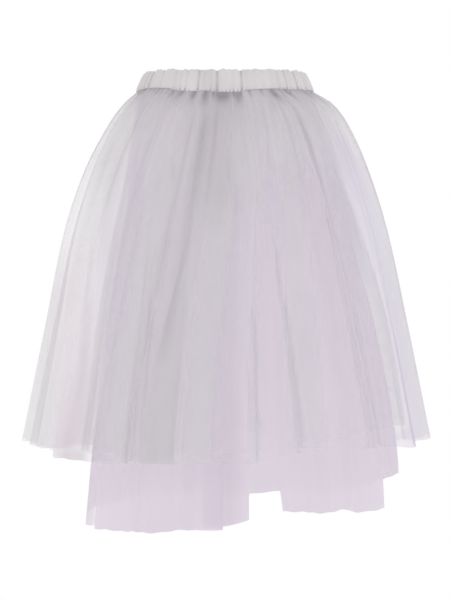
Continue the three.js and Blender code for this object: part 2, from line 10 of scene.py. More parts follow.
import bpy
import numpy as np
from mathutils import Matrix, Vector


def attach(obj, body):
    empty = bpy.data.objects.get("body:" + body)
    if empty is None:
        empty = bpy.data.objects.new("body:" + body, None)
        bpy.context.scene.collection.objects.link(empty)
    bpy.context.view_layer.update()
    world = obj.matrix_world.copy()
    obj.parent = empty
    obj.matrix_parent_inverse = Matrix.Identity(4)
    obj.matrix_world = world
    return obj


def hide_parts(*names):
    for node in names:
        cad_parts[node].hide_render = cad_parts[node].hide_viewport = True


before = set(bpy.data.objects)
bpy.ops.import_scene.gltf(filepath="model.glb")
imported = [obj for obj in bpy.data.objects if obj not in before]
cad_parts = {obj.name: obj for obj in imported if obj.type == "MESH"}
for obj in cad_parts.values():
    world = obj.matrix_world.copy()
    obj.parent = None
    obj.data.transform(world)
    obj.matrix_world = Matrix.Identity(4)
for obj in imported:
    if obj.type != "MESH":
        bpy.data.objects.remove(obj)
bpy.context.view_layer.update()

MM = 0.001

# ---- Waistband ----
BAND_HEIGHT = 31
BAND_HALF_WIDTH = 127  # to the casing's outside, at half its height
BAND_HALF_DEPTH = 99
BAND_TOP_SAG = 5  # how far the casing's top edge sags at the centre front
BAND_FOOT_SAG = 10.5  # and its foot, which the net hangs from
BAND_FOOT_RISE = 2.5  # the foot stands this much higher all round before it sags
BAND_TAPER = 6  # the foot stands this far outside the middle, and the top this far inside

# ---- Net ----
WAIST_DROP = BAND_HEIGHT / 2 + 0.3  # just below the casing's foot where it is level
SEWN_IN = 3.5  # how far the net reaches up into the casing
HEM_DROP = 545  # where the folds have the widths in their tables
SAG_END = 160  # drop by which the net no longer follows the band's foot
LAYER_CLEARANCE = 3.5


def table(columns, *rows):
    """A short table: one array for each named column, with 0 where a row stops short."""
    names = columns.split()
    return {name: np.array([(*row, 0)[i] for row in rows], float) for i, name in enumerate(names)}


# The half widths of each layer's crests, a row for each section.
OUTER_OUTLINE = table(
    "drop left right front back",
    (15.8, 131.9, 131.9, 103.9, 103.9),
    (34, 153, 163, 119, 119),
    (70, 179, 189, 142, 143),
    (130, 211, 216, 168, 171),
    (220, 241, 244, 193, 197),
    (350, 267, 272, 216, 220),
    (545, 306, 311, 247, 249),
)
MIDDLE_OUTLINE = table(
    "drop left right front back",
    (15.8, 130.4, 130.4, 102.4, 102.4),
    (34, 134, 138, 106, 106),
    (70, 139, 149, 113, 113),
    (130, 149, 171, 127, 130),
    (220, 168, 205, 149, 155),
    (350, 192, 244, 179, 182),
    (545, 217, 279, 208, 208),
)
UNDER_OUTLINE = table(
    "drop left right front back",
    (15.8, 128.9, 128.9, 100.9, 100.9),
    (34, 130.5, 133, 102, 102),
    (70, 133, 141, 105, 106),
    (130, 140, 157, 116, 118),
    (220, 154, 184, 136, 140),
    (350, 175, 222, 160, 164),
    (520, 197, 255, 182, 184),
    (655, 210, 264, 194, 196),
)

# The drop of each raw edge at angles round the skirt.
OUTER_HEM = table(
    "at drop",
    (-90, 531), (-66, 535), (-58, 539), (-51, 547), (-10, 547), (12, 544), (20, 533), (30, 511),
    (38, 515), (46, 530), (60, 535), (90, 527), (110, 540), (130, 546), (165, 537), (200, 548),
    (240, 555), (258, 548), (270, 531),
)
MIDDLE_HEM = table(
    "at drop",
    (-90, 548), (-45, 543), (0, 538), (40, 520), (60, 507), (90, 511), (140, 534), (190, 541),
    (235, 532), (270, 548),
)
UNDER_LEFT_HEM = table(
    "at drop", (-90, 660), (-60, 656), (-39, 653), (-18, 647), (-8, 643), (2, 640), (8, 629)
)
UNDER_RIGHT_HEM = table("at drop", (8, 619), (20, 624), (27, 625), (41, 622), (50, 628), (64, 626))
UNDER_BACK_HEM = table(
    "at drop",
    (64, 584), (84, 580), (105, 597), (135, 623), (165, 631), (172, 635), (205, 630), (240, 637),
    (270, 646),
)

# Folds. top and hem are a fold's angle at the waist and at the hem, turn is half the cloth in one
# of its bends, lap is how far the cloth lies back over itself, all in degrees. before and after
# are how far inside the outline the cloth hangs on either side of it, at the hem. A lap begins to
# form at FOLDS_START. full is the drop at which it is whole, FOLDS_FULL where none is given.
FOLDS_START = 80
FOLDS_FULL = 212
FOLD_COLUMNS = "top hem turn lap before after full"
OUTER_FRONT_FOLDS = table(
    FOLD_COLUMNS,
    (-90, -90, 1, 0, 4, 4),
    (-81, -83, 1.5, 0, 0, 0),
    (-72, -76, 2, 0, 20, 20),
    (-62, -68, 1.5, 0, 0, 0),
    (-52, -60, 2, 0, 17, 17),
    (-42, -51, 2, 0, 1, 1),
    (-21, -33, 1.8, 13, 1, 22),
    (-8.5, -18.6, 1.7, 9.2, 22, 2, 500),
    (2, -8, 1.6, 8, 2, 23),
    (13, 7.2, 1.3, 2.4, 3, 16),
    (26, 22.8, 1.9, 12, 22, 1),
    (33, 36, 1.5, 0, 10, 10),
    (43.5, 48.8, 1.8, 14, 1, 24),
    (57, 62, 1.8, 0, 2, 2),
    (67, 71, 1.6, 0, 17, 17),
    (78, 81, 1.8, 0, 0, 0),
    (90, 90, 1, 0, 4, 4),
)
OUTER_BACK_FOLDS = table(
    FOLD_COLUMNS,
    (90, 90, 1, 0, 4, 4),
    (98, 99, 2, 0, 1, 1),
    (107, 108, 1.8, 0, 19, 19),
    (117, 116, 2, 0, 2, 2),
    (127, 127, 1.8, 8, 1, 22),
    (139, 139, 2, 0, 3, 3),
    (148, 148, 1.6, 0, 20, 20),
    (157, 156, 1.8, 0, 1, 1),
    (169, 169, 1.8, 10, 23, 2),
    (180, 181, 1.8, 0, 18, 18),
    (189, 190, 1.8, 0, 1, 1),
    (200, 202, 1.8, 8, 1, 21),
    (211, 213, 1.8, 0, 3, 3),
    (220, 222, 1.7, 0, 21, 21),
    (229, 230, 2, 0, 1, 1),
    (240, 240, 2.2, 0, 18, 18),
    (251, 251, 2.2, 0, 2, 2),
    (261, 261, 1.6, 0, 15, 15),
    (270, 270, 1, 0, 4, 4),
)
MIDDLE_FRONT_FOLDS = table(
    FOLD_COLUMNS,
    (-90, -90, 1, 0, 2, 2),
    (-78, -79, 2.5, 0, 12, 12),
    (-66, -67, 2.5, 0, 0, 0),
    (-53, -55, 2.5, 0, 14, 14),
    (-41, -43, 3, 0, 1, 1),
    (-29, -32, 2.5, 0, 16, 16),
    (-16, -20, 3, 0, 0, 0),
    (-4, -7, 2.5, 0, 15, 15),
    (8, 7, 3, 0, 2, 2),
    (20, 21, 2.5, 0, 16, 16),
    (31, 34, 3, 0, 0, 0),
    (43, 47, 2.5, 0, 15, 15),
    (56, 60, 3, 0, 2, 2),
    (70, 73, 2.5, 0, 14, 14),
    (90, 90, 2, 0, 2, 2),
)
MIDDLE_BACK_FOLDS = table(
    FOLD_COLUMNS,
    (90, 90, 2, 0, 2, 2),
    (105, 105, 3, 0, 14, 14),
    (119, 118, 3, 0, 1, 1),
    (133, 133, 3, 0, 15, 15),
    (148, 147, 3, 0, 0, 0),
    (163, 163, 3, 0, 16, 16),
    (178, 179, 3, 0, 1, 1),
    (193, 194, 3, 0, 15, 15),
    (208, 209, 3, 0, 0, 0),
    (224, 225, 3, 0, 14, 14),
    (240, 240, 3, 0, 2, 2),
    (256, 256, 3, 0, 12, 12),
    (270, 270, 1, 0, 2, 2),
)
UNDER_LEFT_FOLDS = table(
    FOLD_COLUMNS,
    (-90, -90, 1, 0, 1, 1),
    (-77, -78, 3, 0, 13, 13),
    (-62, -62, 3, 0, 1, 1),
    (-48, -47, 3, 0, 16, 16),
    (-33, -33, 3, 0, 2, 2),
    (-20, -20, 2.5, 0, 12, 12),
    (-6, -5, 1.8, 8, 1, 19),
    (7.5, 7.5, 1, 0, 6, 6),
)
UNDER_RIGHT_FOLDS = table(
    FOLD_COLUMNS,
    (7.5, 7.5, 1, 0, 6, 6),
    (20, 25, 2.5, 0, 15, 15),
    (33, 37, 3, 0, 2, 2),
    (47, 49, 2.5, 0, 15, 15),
    (58, 59, 2, 0, 2, 2),
    (64, 64, 1, 0, 5, 5),
)
UNDER_BACK_FOLDS = table(
    FOLD_COLUMNS,
    (64, 64, 1, 0, 5, 5),
    (78, 77, 3, 0, 14, 14),
    (93, 91, 3, 0, 0, 0),
    (108, 108, 3, 0, 15, 15),
    (124, 123, 3, 0, 1, 1),
    (140, 140, 3, 0, 17, 17),
    (156, 155, 3, 0, 0, 0),
    (171, 172, 3, 0, 16, 16),
    (187, 188, 3, 0, 1, 1),
    (203, 204, 3, 0, 17, 17),
    (219, 220, 3, 0, 0, 0),
    (236, 236, 3, 0, 15, 15),
    (253, 253, 3, 0, 2, 2),
    (270, 270, 1, 0, 1, 1),
)

# The front vent of the under layer: its right edge swings away below VENT_TOP.
VENT_TOP = 380
VENT_FOOT = 640
VENT_OPEN = 11

# Puckers where the net is bunched under the band: angle, depth, half width and how far they run.
PUCKERS = table(
    "at deep half run",
    (-66, 3.8, 2.6, 34), (-47, 1.8, 3, 50), (-35, 3, 2.2, 34), (-29, 3.2, 2.6, 60),
    (-20, 3.8, 2.2, 38), (-12, 3.8, 2.6, 64), (-1.5, 5, 5, 28), (7.5, 4, 2.4, 46),
    (31, 4.2, 3, 60), (42, 4.2, 2.6, 34), (58, 3, 2.4, 44), (68, 4.2, 3, 56), (82, 2.4, 2.6, 50),
    (99, 3, 3, 60), (112, 4, 2.6, 34), (123, 2.2, 2.6, 56), (137, 4.4, 3, 40), (153, 2.6, 2.4, 60),
    (171, 4.6, 3.4, 36), (186, 2.4, 2.4, 60), (204, 3.8, 3, 44), (222, 2.6, 2.6, 60),
    (239, 4.4, 3, 36), (256, 2.6, 2.4, 56),
)

# Fine gathers that run down from the band, as waves round the waist: how high and how many, how far
# and how often each wanders, and its share of the layer's phase and of the lean.
GATHER_WAVES = table(
    "high count wander turns phase lean",
    (0.42, 44, 1.3, 7, 1, 1), (0.3, 71, 2.1, 5, -1, -1), (0.28, 103, 1.7, 9, 2, 0),
)
GATHER_DEPTH = 1.2  # how deep they are where the waves cancel out
GATHER_LEAN = 0.004  # radians for each millimetre on the way down
GATHER_FULL = 16  # distance below the band at which they are whole
GATHER_LOSS = 0.86  # the share of them that is gone by the second of the drops below
GATHER_FADE = (50, 230)

# Soft creases of the outer layer that run down between the folds: where they start and end, how
# wide and how deep they are. A negative depth is a ridge.
SOFT_CREASES = table(
    "top hem start end half deep",
    (-83, -86, 60, 420, 1.6, 1.6), (-68, -73, 30, 360, 1.4, -1.6), (-57, -64, 90, 540, 1.5, 1.8),
    (-47, -55, 25, 300, 1.3, 1.7), (-38, -46, 120, 545, 1.6, -1.5), (-33, -41, 60, 545, 1.1, 2),
    (-28, -37, 180, 545, 0.9, 1.4), (-24.5, -27.2, 250, 600, 0.5, 2),
    (-22.5, -24.4, 300, 600, 0.45, 1.8), (-16, -26.5, 40, 330, 1, 1.7),
    (-9.5, -21, 40, 430, 2.2, 2.4), (-4, -14.5, 30, 230, 1, 1.5), (5, 1, 150, 545, 1.1, 1.3),
    (9, 3.8, 60, 420, 0.9, -1.2), (19, 5, 25, 250, 0.6, 1.4), (20, 15, 120, 545, 0.9, 1.1),
    (29, 27, 30, 230, 1.1, 1.7), (31, 31, 180, 545, 1.1, -1.3), (36, 45.5, 25, 600, 0.9, 2.5),
    (14.5, 20.5, 230, 600, 0.6, 2.2), (9, 8.7, 330, 600, 0.5, 1.8), (40, 45, 60, 330, 0.9, -1.3),
    (49, 55, 120, 545, 1.1, 1.6), (53, 58, 30, 280, 1.3, -1.5), (62, 67, 60, 545, 1.3, 1.5),
    (72, 76, 30, 400, 1.4, -1.5), (84, 86, 90, 545, 1.4, 1.6), (94, 95, 30, 330, 1.5, 1.7),
    (103, 103, 100, 545, 1.4, -1.5), (112, 113, 40, 400, 1.4, 1.8), (122, 121, 30, 545, 1.3, -1.4),
    (133, 134, 150, 545, 1.2, 1.6), (144, 143, 25, 300, 1.3, 1.8), (152, 152, 90, 545, 1.2, -1.5),
    (161, 161, 30, 240, 1.2, 1.7), (174, 175, 60, 500, 1.1, 1.5), (185, 186, 150, 545, 1.2, -1.4),
    (194, 195, 25, 360, 1.3, 1.7), (206, 208, 80, 545, 1.3, 1.5), (215, 217, 30, 260, 1.4, -1.6),
    (225, 226, 120, 545, 1.3, 1.6), (235, 235, 30, 420, 1.4, 1.6), (246, 246, 90, 545, 1.4, -1.5),
    (256, 256, 25, 300, 1.4, 1.7), (265, 266, 150, 545, 1.3, 1.5),
)
CREASE_ONSET = (-10, 45)  # a crease sets in between these distances from its start
CREASE_FADE = (-90, 15)  # and fades between these from its end
CREASE_THROUGH = 540  # one that ends lower than this runs out through the hem

# Where more of the net is gathered together: the middle of the bunch at the waist and at the hem,
# where it starts and ends, its half width and how much denser it is.
# A denser bunch also darkens the net's colour with painted shade.
BUNCHES = table(
    "top hem start end half dense",
    (-3, -9, 8, 260, 7.5, 1.5), (-9, -19.5, 60, 800, 4.5, 0.6), (36.5, 43, 8, 290, 3.2, 0.6),
    (-76, -84, 30, 330, 11, -0.6), (-50, -34, 130, 330, 4, 0.5), (-80, -50, 420, 800, 9, 0.35),
    (-52, -52, 560, 800, 9, 0.6), (-46.5, -46.5, 430, 800, 3, 0.9), (-19, -20, 440, 800, 4.5, 0.5),
    (-38, -42, 200, 480, 4, 0.4), (-60, -42, 250, 800, 2.6, 0.8), (-17, -26.5, 250, 800, 2, 0.75),
    (-6, -14.5, 250, 800, 1.7, 0.9), (80, 84, 20, 190, 12, -0.45), (82, 78, 260, 800, 11, 0.5),
    (-30, -33.5, 300, 800, 3, -0.3), (35, 39, 170, 800, 4.5, -0.55), (52, 54, 260, 800, 5, -0.55),
    (8, 3.5, 330, 800, 4, -0.25), (13, 13.5, 190, 800, 3, -0.35), (25, 23.5, 200, 800, 4, 0.15),
    (64, 70, 90, 330, 8, 0.45), (37.5, 37.5, 180, 520, 5, -0.7), (51, 56, 300, 620, 5, -0.55),
    (55, 64.5, 130, 560, 3, 0.35), (36.5, 45.5, 60, 800, 1.1, 0.8),
    (14.5, 20.5, 250, 800, 0.8, 0.9), (9, 8.7, 330, 800, 0.6, 0.7), (44, 46, 400, 800, 6, -0.2),
    (-17, -21, 20, 210, 6, 0.45), (8, 8, 10, 240, 7, 0.5), (40, 10, 10, 430, 5, -0.3),
    (65, 65, 430, 800, 10, 0.2), (2.4, 2.4, 380, 800, 2.5, -0.3), (-31, -37, 15, 150, 4, 0.35),
    (-58, -66, 15, 200, 5, 0.4), (62, 68, 15, 170, 4.5, 0.4), (88, 88, 10, 240, 5, 0.6),
    (118, 117, 12, 180, 4.5, 0.5), (151, 152, 8, 210, 6, 0.8), (178, 180, 15, 140, 4, 0.4),
    (207, 206, 8, 190, 5.5, 0.7), (236, 237, 12, 240, 4.5, 0.5), (262, 263, 15, 160, 4, 0.4),
    (27, 28, 130, 800, 27, -0.42), (10, 12, 460, 800, 14, -0.4), (172, 190, 130, 800, 26, -0.25),
    (98, 98, 20, 190, 12, -0.4), (104, 104, 260, 800, 10, 0.4), (262, 262, 30, 330, 13, -0.5),
    (240, 240, 480, 800, 14, 0.8),
)
MIDDLE_BUNCHES = table(
    "top hem start end half dense",
    (26, 28, 110, 800, 32, -0.6), (-40, -38, 200, 800, 8, -0.2), (10, 12, 430, 800, 14, -0.4),
    (165, 185, 130, 800, 30, -0.3), (40, 40, 400, 800, 24, -0.35),
)
UNDER_BUNCHES = table(
    "top hem start end half dense",
    (-78, -76, 380, 800, 12, -0.7), (-28, -25, 580, 800, 15, 0.5), (3, 3, 580, 800, 5, 0.3),
    (30, 30, 430, 800, 18, 0.15), (70, 72, 380, 800, 13, -0.35), (82, 82, 440, 800, 12, -0.45),
    (270, 270, 380, 800, 9, -0.3),
)
PATCH_ONSET, PATCH_ONSET_GROWTH = 6, 0.28  # a patch that starts lower down sets in more slowly
PATCH_FADE = 110  # and every patch fades over this much above its end

# Where the outer hem is turned up at its lowest corners, and so stays dense below the middle hem.
TURNED_HEM = table("at half start dense", (-46.5, 7, 524, 0.9), (63, 7, 500, 0.9))
TURNED_ONSET = 18  # it sets in over this much of the drop

# Painted light: where the net takes on more of the light of the lilac below it, a rosy or a violet
# tinge.
PAINTED_LILAC_LIGHT = table(
    "top hem start end half rose violet",
    (-80, -48, 230, 800, 9, 1, 0), (62, 66, 100, 800, 18, 0.1, 0.75),
    (34, 39, 170, 800, 5, 0, 0.4), (9, 13, 330, 800, 5, 0, 0.3),
    (-40, -44, 110, 430, 8, 0.3, 0.25), (59, 62, 60, 230, 8, 0.2, 0.3),
    (66, 66, 430, 800, 9, 0.8, 0.1), (112, 118, 160, 800, 22, 0, 0.5),
    (158, 150, 230, 800, 16, 0.5, 0), (196, 206, 200, 800, 22, 0.2, 0.35),
    (246, 238, 260, 800, 14, 0.7, 0),
)

# Inside each side seam the allowance lies behind the net as most of one more ply.
SIDE_SEAMS = (-90, 90, 270)
SEAM_ALLOWANCE = 9
SEAM_FLARE = 0.37  # how fast the skirt widens there on its way down
SEAM_EDGE = 0.15  # half the angle that the allowance's edge fades over
SEAM_PLIES = 0.8

# Creases of the gathered casing: angle, depth, half width in degrees, and how far the top edge
# dips in it.
BAND_CREASES = table(
    "at deep half dip",
    (-83, 0.9, 1.6, 0.4), (-77, 1.4, 1.5, 0.7), (-70, 1.1, 1.3, 0.5), (-64.5, 1.9, 1.2, 0.9),
    (-58.6, 2.7, 1.1, 1.3), (-48, 0.5, 2.2, 0.2), (-46, 1.2, 0.8, 0.8), (-34.5, 1.3, 1.2, 0.5),
    (-30.5, 1, 1.4, 0.7), (-26, 1.1, 1.2, 0.8), (-17.5, 2.8, 0.9, 1.1), (-14, 0.8, 1.5, 0.6),
    (-9.2, 1, 1.1, 0.5), (-5.2, 2.8, 0.9, 1.2), (5.2, 0.9, 1, 0.6), (10.8, 2.9, 0.9, 1.3),
    (14, 1, 1.2, 0.6), (19.5, 0.4, 1.6, 0.2), (25.7, 0.7, 1.6, 0.4), (32, 0.4, 1.6, 0.2),
    (37.3, 1, 1.3, 0.5), (43.5, 1.9, 1, 0.9), (47, 0.8, 1, 0.6), (54, 2.8, 1, 1.3),
    (58, 1, 1, 0.6), (65, 1.8, 1.2, 0.9), (70, 1.1, 1.4, 0.5), (76, 1.7, 1.2, 0.8),
    (84, 1, 1.5, 0.5), (91, 1.8, 1.2, 0.8), (97, 2.6, 1.1, 1.2), (104, 0.8, 1.5, 0.4),
    (109, 1.7, 1.1, 0.8), (117, 2.6, 1.1, 1.2), (121, 1.1, 1.2, 0.6), (130, 0.5, 2, 0.3),
    (137, 2.3, 1.1, 1), (143, 1.2, 1.2, 0.6), (149, 1.7, 1.1, 0.8), (156, 2.8, 1, 1.3),
    (167, 0.7, 1.6, 0.4), (172, 1.8, 1.1, 0.8), (176, 2.4, 1, 1.1), (185, 0.9, 1.4, 0.5),
    (191, 1.8, 1.1, 0.9), (198, 2.7, 1, 1.2), (203, 1, 1.3, 0.5), (213, 0.5, 2, 0.2),
    (219, 2.2, 1.1, 1), (224, 1.3, 1.2, 0.6), (233, 2.7, 1.1, 1.2), (239, 1, 1.3, 0.5),
    (246, 1.7, 1.1, 0.8), (253, 2.4, 1.1, 1.1), (259, 1.1, 1.4, 0.5), (266, 1.7, 1.2, 0.8),
)
CREASE_SCALE, CREASE_POWER = 0.62, 1.5  # how deep and how sharp a crease of depth 1 is
DIP_SCALE = 1.9  # how low a dip of 1 is
DIP_WIDTH = 1.9  # how much wider a dip is than its crease

# The casing's foot puffs down over the seam in some stretches and is pulled up in others.
FOOT_STEPS = table(
    "at lift",
    (-90, 0.5), (-70, 0.4), (-62, 1.6), (-40, 2.2), (-36, 1), (-33, -1.4), (-19, -1.1), (-16, 0.3),
    (-12, 0.4), (-6, -1.3), (9, -1.4), (13, 1.2), (20, 2.5), (32, 2.1), (40, 0.6), (44, -0.9),
    (53, -0.6), (57, -1.6), (68, -1), (76, 0.4), (90, 0.8), (104, 1.8), (115, -1.2), (130, 0.9),
    (142, -1.4), (158, 1.9), (170, 0.6), (177, -1.5), (192, -0.4), (200, 2), (214, 1.1),
    (221, -1.3), (236, 0.8), (247, 1.9), (258, -0.8), (270, 0.5),
)

# Stretches of the foot with painted shadow: small dark dashes along the casing's edge, for the deep
# shade in the gathers there.
FOOT_SHADOW_DASHES = table(
    "at half",
    (-72, 3), (-28, 6), (-9, 3), (5, 8), (43, 5), (57, 2.5), (95, 4), (128, 6), (160, 4), (183, 7),
    (215, 4), (243, 6), (262, 3),
)

# Round the casing from its outer foot over the top to its inner foot: how far outwards and how
# high, as a share of half its height, and how much of the swell, the crease and the dip it takes.
BAND_PROFILE = table(
    "out height swell crease dip",
    (-1.6, -1, 0, 0.2, 0), (-0.5, -1, 0.1, 0.5, 0), (0, -0.93, 0.35, 1, 0), (0, -0.8, 0.7, 1, 0),
    (0, -0.6, 0.95, 0.85, 0), (0, -0.35, 1, 0.65, 0), (0, -0.1, 1, 0.55, 0), (0, 0.15, 1, 0.55, 0),
    (0, 0.4, 0.95, 0.7, 0), (0, 0.62, 0.8, 0.9, 0.3), (-0.1, 0.8, 0.55, 1, 0.7),
    (-0.4, 0.92, 0.3, 1, 1), (-1, 0.985, 0.1, 0.8, 1), (-1.9, 1, 0, 0.5, 1), (-3, 0.99, 0, 0.2, 1),
    (-3.9, 0.94, 0, 0, 1), (-4.4, 0.84, -0.2, 0, 0.8), (-4.6, 0.6, -0.35, 0, 0.4),
    (-4.6, 0.2, -0.4, 0, 0), (-4.6, -0.3, -0.4, 0, 0), (-4.6, -0.75, -0.3, 0, 0),
    (-4.2, -0.96, 0, 0, 0), (-3.2, -1, 0, 0, 0),
)


# ---- Shape helpers ----
def smooth(low, high, x):
    """0 up to `low`, 1 from `high` on, and an even S between them."""
    t = np.clip((x - low) / (high - low), 0, 1)
    return t * t * (3 - 2 * t)


def bell(x):
    return np.exp(-(x**2))


def wave(turn, count, wander, turns, phase=0, lean=0):
    """A wave with `count` crests round the waist, which wander to and fro `turns` times."""
    return np.sin(count * turn + wander * np.sin(turns * turn + phase) + lean)


def away_from(at, angle):
    """How far each angle is from `at`, the short way round."""
    return np.abs((angle - at + 180) % 360 - 180)


def rows_of(rows, columns):
    """The rows of a table, each with the named columns alone."""
    return zip(*(rows[name] for name in columns.split()))


def read_curve(rows, key, out, x):
    """A smooth curve through a table's rows: column `out` read at x in column `key`."""
    k, v = rows[key], rows[out]
    x = np.clip(x, k[0], k[-1])
    i = np.clip(np.searchsorted(k, x, side="right") - 1, 0, len(k) - 2)
    ends = np.arange(len(k))
    low, high = np.maximum(ends - 1, 0), np.minimum(ends + 1, len(k) - 1)
    slope = (v[high] - v[low]) / (k[high] - k[low])
    span = k[i + 1] - k[i]
    t = (x - k[i]) / span
    pull = (v[i + 1] - v[i]) / span
    bend = (slope[i] - pull) * (1 - t) - (slope[i + 1] - pull) * t
    return v[i] + (v[i + 1] - v[i]) * t + span * t * (1 - t) * bend


def outline_at(outline, angle, drop):
    """The point of a layer's outline at an angle and drop, and the way that is outwards there."""
    sine, cosine = np.sin(np.radians(angle)), np.cos(np.radians(angle))
    left, right, front, back = (
        read_curve(outline, "drop", column, drop) for column in ("left", "right", "front", "back")
    )
    side, depth = np.where(sine < 0, left, right), np.where(cosine > 0, front, back)
    out_x, out_y = sine / side, -cosine / depth
    length = np.hypot(out_x, out_y)
    return side * sine, -depth * cosine, out_x / length, out_y / length


def front_share(angle):
    """How much of the sag at the centre front an angle has."""
    return np.maximum(np.cos(np.radians(angle)), 0) ** 3


def foot_shift(angle):
    """How far the band's foot stands above its level place."""
    return BAND_FOOT_RISE - BAND_FOOT_SAG * front_share(angle)


def under_band(start, end, drop):
    """1 right under the band, and 0 from `end` below it on."""
    return 1 - smooth(WAIST_DROP + start, WAIST_DROP + end, drop)


def drifted(top, hem, drop):
    """The angle of a thing that drifts from one angle at the waist to another at the hem."""
    return top + (hem - top) * smooth(0, 1, (drop - WAIST_DROP) / (HEM_DROP - WAIST_DROP))


# ---- Folds ----
def fold_angles(folds, drop):
    """The angle of every fold at each drop: the folds are the first axis."""
    shape = (-1,) + (1,) * drop.ndim
    return drifted(folds["top"].reshape(shape), folds["hem"].reshape(shape), drop)


def lap_reach(folds, at, k):
    """How far a fold lays the cloth to either side of it, less where its neighbours crowd it."""
    room = (at[k + 1] - at[k - 1]) / (folds["hem"][k + 1] - folds["hem"][k - 1])
    return np.minimum(room, 1), folds["turn"][k] + folds["lap"][k] / 2


def folded_angle(folds, cloth, drop):
    """Where the cloth ends up once it has drifted with its folds and each has laid it back."""
    at = fold_angles(folds, drop)
    count = len(folds["hem"])
    i = np.clip(np.searchsorted(folds["hem"], cloth, side="right") - 1, 0, count - 2)
    share = (cloth - folds["hem"][i]) / (folds["hem"][i + 1] - folds["hem"][i])
    here = np.take_along_axis(at, i[None], 0)[0]
    there = np.take_along_axis(at, i[None] + 1, 0)[0]
    angle = here + (there - here) * share
    for k in np.flatnonzero(folds["lap"]):
        formed = smooth(FOLDS_START, folds["full"][k] or FOLDS_FULL, drop)
        room, reach = lap_reach(folds, at, k)
        x = (cloth - folds["hem"][k]) / folds["turn"][k]
        angle = angle - formed * room * reach * x * np.exp((1 - x * x) / 2)
    return angle


NARROW_LAP = 4  # a lap that is no wider than this leaves no bunch above it
BUNCHED_EDGE = 0.9  # half the angle that a bunch's edge fades over
BUNCHED_FULL = 62  # the drop at which it is whole


def bunched(folds, angle, drop):
    """1 where the cloth is bunched above a lap that has yet to form, 0 between the laps."""
    at = fold_angles(folds, drop)
    share = np.zeros_like(angle)
    for k in np.flatnonzero((folds["lap"] > NARROW_LAP) & (folds["full"] == 0)):
        room, reach = lap_reach(folds, at, k)
        half = room * reach
        inside = 1 - smooth(half - BUNCHED_EDGE, half + BUNCHED_EDGE, np.abs(angle - at[k]))
        share = np.maximum(share, inside)
    share = share * (1 - smooth(FOLDS_START, FOLDS_FULL, drop))
    return share * smooth(WAIST_DROP, BUNCHED_FULL, drop)


# The cloth keeps its level up to LAP_WIDE turns from the middle of a lap. At LAP_NARROW turns from
# the middle it has gone LAP_STEP of the way to its next level, and as far beyond it has that left.
LAP_NARROW, LAP_WIDE, LAP_STEP = 0.45, 1.6, 0.44
LAP_CLEAR = 1.61  # the least turns from the middle at which it is clear of the lap
LAP_BEYOND = 0.6  # how many turns beyond a wide lap it is clear of it
PLAIN_HALF = 0.5  # half of a plain fold's bend, in turns


def fold_levels(folds, cloth):
    """How far inside the outline the cloth hangs at the hem."""
    at, level = [], []
    for hem, turn, lap, before, after in rows_of(folds, "hem turn lap before after"):
        if lap == 0:
            at += [hem - PLAIN_HALF * turn, hem + PLAIN_HALF * turn]
            level += [before, after]
            continue
        narrow, wide = LAP_NARROW * turn, LAP_WIDE * turn
        clear = max(lap / 2 + LAP_BEYOND * turn, LAP_CLEAR * turn)
        at += [hem - clear, hem - wide, hem - narrow, hem + narrow, hem + wide, hem + clear]
        first = before + LAP_STEP * (after - before)
        second = before + (1 - LAP_STEP) * (after - before)
        level += [before, before, first, second, after, after]
    at, level = np.array(at), np.array(level)
    flat = cloth.ravel()
    past = [np.flatnonzero(at > c) for c in flat]
    i = np.array([max(int(ahead[0]) - 1, 0) if len(ahead) else len(at) - 2 for ahead in past])
    t = smooth(at[i], at[i + 1], flat)
    return (level[i] + (level[i + 1] - level[i]) * t).reshape(cloth.shape)


# ---- Puckers, creases and denser places ----
PUCKER_START = 0.15  # the share of its run at which a pucker begins to fade
PUCKER_WIDTH = 1.6  # how many half widths from its middle it ends
PUCKER_ONSET = 4  # it forms within this distance of the casing's foot
# The fine gathers are stronger in some stretches of the waist than in others.
STRETCH_MEAN, STRETCH_SWING, STRETCH_COUNT, STRETCH_PHASE, STRETCH_DROP = 0.65, 0.35, 3, 1.9, 130


def pucker_depth(angle, drop, phase):
    """The bunching right under the band, and the fine gathers that run down from it."""
    deep = np.zeros_like(angle)
    for at, depth, half, run in rows_of(PUCKERS, "at deep half run"):
        across = 1 - smooth(0, half * PUCKER_WIDTH, away_from(at, angle))
        deep = np.maximum(deep, depth * under_band(PUCKER_START * run, run, drop) * across)
    deep = deep * smooth(WAIST_DROP - PUCKER_ONSET, WAIST_DROP + PUCKER_ONSET, drop)
    turn = np.radians(angle)
    waves = np.zeros_like(angle)
    for high, count, wander, turns, own, lean in zip(*GATHER_WAVES.values()):
        leaning = lean * GATHER_LEAN * drop
        waves = waves + high * wave(turn, count, wander, turns, own * phase, leaning)
    strong = smooth(WAIST_DROP, WAIST_DROP + GATHER_FULL, drop)
    strong = strong * (1 - GATHER_LOSS * smooth(*GATHER_FADE, drop))
    stretch = np.sin(STRETCH_COUNT * turn + STRETCH_PHASE * phase + drop / STRETCH_DROP)
    return deep, GATHER_DEPTH * strong * (STRETCH_MEAN + STRETCH_SWING * stretch) * (1 + waves)


def soft_creases(angle, drop):
    """How deep the soft creases are: a ridge is less than 0."""
    deep = np.zeros_like(angle)
    for top, hem, start, end, half, depth in zip(*SOFT_CREASES.values()):
        along = smooth(start + CREASE_ONSET[0], start + CREASE_ONSET[1], drop)
        if end < CREASE_THROUGH:
            along = along * (1 - smooth(end + CREASE_FADE[0], end + CREASE_FADE[1], drop))
        deep = deep + depth * along * bell((angle - drifted(top, hem, drop)) / half)
    return deep


def patches(rows, column, angle, drop):
    """The sum of soft patches that drift from one angle to another on their way down."""
    total = np.zeros_like(angle)
    for top, hem, start, end, half, amount in rows_of(rows, "top hem start end half " + column):
        soft = min(start, PATCH_ONSET + PATCH_ONSET_GROWTH * start)
        along = smooth(start - soft, start + soft, drop) * (1 - smooth(end - PATCH_FADE, end, drop))
        total = total + amount * along * bell((angle - drifted(top, hem, drop)) / half)
    return total


